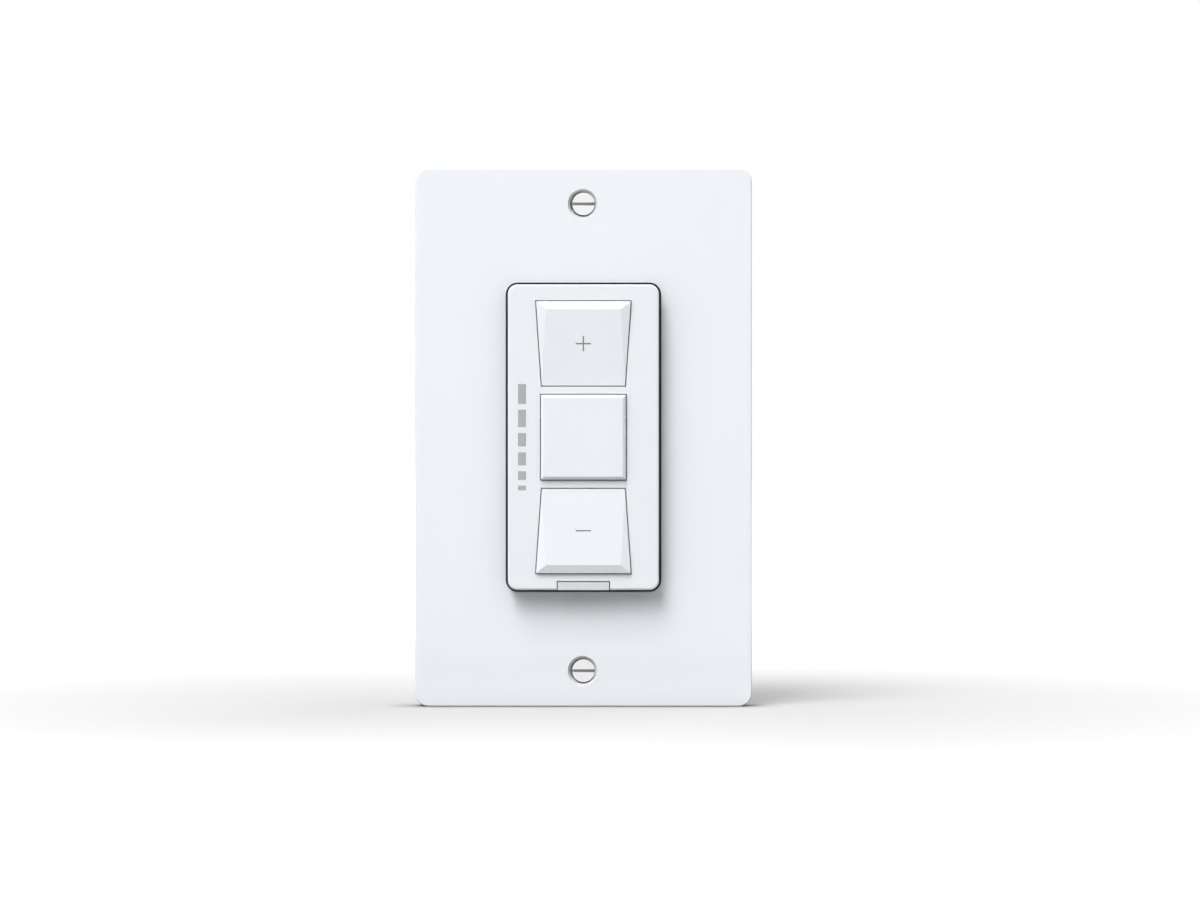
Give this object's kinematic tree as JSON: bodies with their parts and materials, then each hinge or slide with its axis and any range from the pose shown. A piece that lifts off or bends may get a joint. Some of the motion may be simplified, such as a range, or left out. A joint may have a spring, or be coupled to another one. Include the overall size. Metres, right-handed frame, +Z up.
{
  "type": "smart dimmer switch",
  "caption": "White in-wall dimmer with a cover plate: plus and minus wedge buttons, a square centre button, a column of level bars and a pull-out tab, closed body behind.",
  "frame": {"origin": "midway between the two wall-box screw holes, on the wall surface", "axes": "+Z up along the plate's height, +X to the right of a person who faces the switch, -Y out of the wall towards that person"},
  "size_m": [0.0698, 0.0434, 0.1116],
  "materials": {
    "plate_white": "smooth moulded thermoplastic, low sheen",
    "insert_white": "smooth moulded thermoplastic",
    "button_white": "smooth moulded thermoplastic",
    "carrier_white": "moulded acetal",
    "screw_white": "painted steel",
    "bar_grey": "frosted translucent polycarbonate, unlit",
    "mark_grey": "pad-printed ink",
    "steel": "zinc-plated steel",
    "tinned_steel": "tin-plated sheet",
    "yoke_aluminium": "punched sheet, brushed",
    "ground_green": "green-dyed steel",
    "fibre_sheet": "pressed fibre sheet",
    "silicone_pad": "glass-filled silicone",
    "board_green": "solder-masked circuit board",
    "board_blue": "solder-masked circuit board",
    "moulding_black": "moulded epoxy",
    "tinned_brass": "tin-plated brass",
    "nylon": "natural nylon",
    "ferrite": "sintered ferrite",
    "copper_wire": "enamelled copper winding",
    "coil_tape": "polyester tape over the winding",
    "capacitor_yellow": "flame-retardant case",
    "can_sleeve": "shrink sleeve on an aluminium can",
    "varistor_blue": "dipped epoxy",
    "fuse_brown": "moulded fuse body",
    "housing_grey": "flame-retardant moulded housing",
    "brass_screw": "brass",
    "nickel_screw": "nickel-plated brass",
    "contact_copper": "copper alloy strip",
    "lamp_lens": "clear epoxy lamp chip"
  },
  "bodies": {
    "chassis": {"air_gap_contacts": "contact_copper", "board_header": "moulding_black", "board_spacers": "nylon", "button_carrier": "carrier_white", "can_capacitor": "can_sleeve", "centre_switch_body": "moulding_black", "choke_core": "ferrite", "choke_winding": "copper_wire", "clamp_bar": "steel", "clamp_plates": "tinned_brass", "clamp_screw": "steel", "control_board": "board_green", "controller_chip": "moulding_black", "film_capacitor": "capacitor_yellow", "front_insert": "insert_white", "fuse": "fuse_brown", "ground_screw": "ground_green", "header_pins": "tinned_brass", "housing_screws": "steel", "insulating_sheet": "fibre_sheet", "insulator_pad": "silicone_pad", "left_transistor_body": "moulding_black", "left_transistor_frame": "tinned_steel", "level_lamp_1": "lamp_lens", "level_lamp_2": "lamp_lens", "level_lamp_3": "lamp_lens", "level_lamp_4": "lamp_lens", "level_lamp_5": "lamp_lens", "level_lamp_6": "lamp_lens", "light_guide": "bar_grey", "lower_switch_body": "moulding_black", "minus_hinge_pin": "steel", "neutral_screw": "nickel_screw", "plate_screws": "screw_white", "plus_hinge_pin": "steel", "power_board": "board_green", "radio_board": "board_blue", "radio_shield": "tinned_steel", "rear_housing": "housing_grey", "right_transistor_body": "moulding_black", "right_transistor_frame": "tinned_steel", "terminal_plates": "tinned_brass", "terminal_screws": "brass_screw", "transformer_coil": "coil_tape", "transformer_core": "ferrite", "upper_switch_body": "moulding_black", "varistor": "varistor_blue", "wall_plate": "plate_white", "yoke": "yoke_aluminium"},
    "plus_button": {"plus_button": "button_white", "plus_mark": "mark_grey"},
    "minus_button": {"minus_button": "button_white", "minus_mark": "mark_grey"},
    "centre_button": {"centre_button": "button_white"},
    "air_gap_tab": {"air_gap_tab": "button_white", "air_gap_blade": "contact_copper"},
    "upper_plunger": {"upper_switch_plunger": "carrier_white"},
    "centre_plunger": {"centre_switch_plunger": "carrier_white"},
    "lower_plunger": {"lower_switch_plunger": "carrier_white"}
  },
  "joints": [
    {"name": "plus_press", "type": "hinge", "parent": "chassis", "child": "plus_button", "pos_m": [0, -0.0064, 0.0136], "axis": [-1, 0, 0], "range_deg": [0, 2.5], "stiffness_Nm_per_rad": 0.45},
    {"name": "minus_press", "type": "hinge", "parent": "chassis", "child": "minus_button", "pos_m": [0, -0.0064, -0.0136], "axis": [1, 0, 0], "range_deg": [0, 2.5], "stiffness_Nm_per_rad": 0.45},
    {"name": "centre_press", "type": "slide", "parent": "chassis", "child": "centre_button", "axis": [0, 1, 0], "range_m": [0, 0.0005], "stiffness_N_per_m": 5000},
    {"name": "air_gap_pull", "type": "slide", "parent": "chassis", "child": "air_gap_tab", "axis": [0, -1, 0], "range_m": [0, 0.003]},
    {"name": "upper_switch_press", "type": "slide", "parent": "chassis", "child": "upper_plunger", "axis": [0, 1, 0], "range_m": [0, 0.0004]},
    {"name": "centre_switch_press", "type": "slide", "parent": "chassis", "child": "centre_plunger", "axis": [0, 1, 0], "range_m": [0, 0.0005]},
    {"name": "lower_switch_press", "type": "slide", "parent": "chassis", "child": "lower_plunger", "axis": [0, 1, 0], "range_m": [0, 0.0004]}
  ],
  "couplings": [
    {"joint": "upper_switch_press", "follows": "plus_press", "m_per_rad": 0.008},
    {"joint": "lower_switch_press", "follows": "minus_press", "m_per_rad": 0.008},
    {"joint": "centre_switch_press", "follows": "centre_press", "ratio": 1}
  ]
}
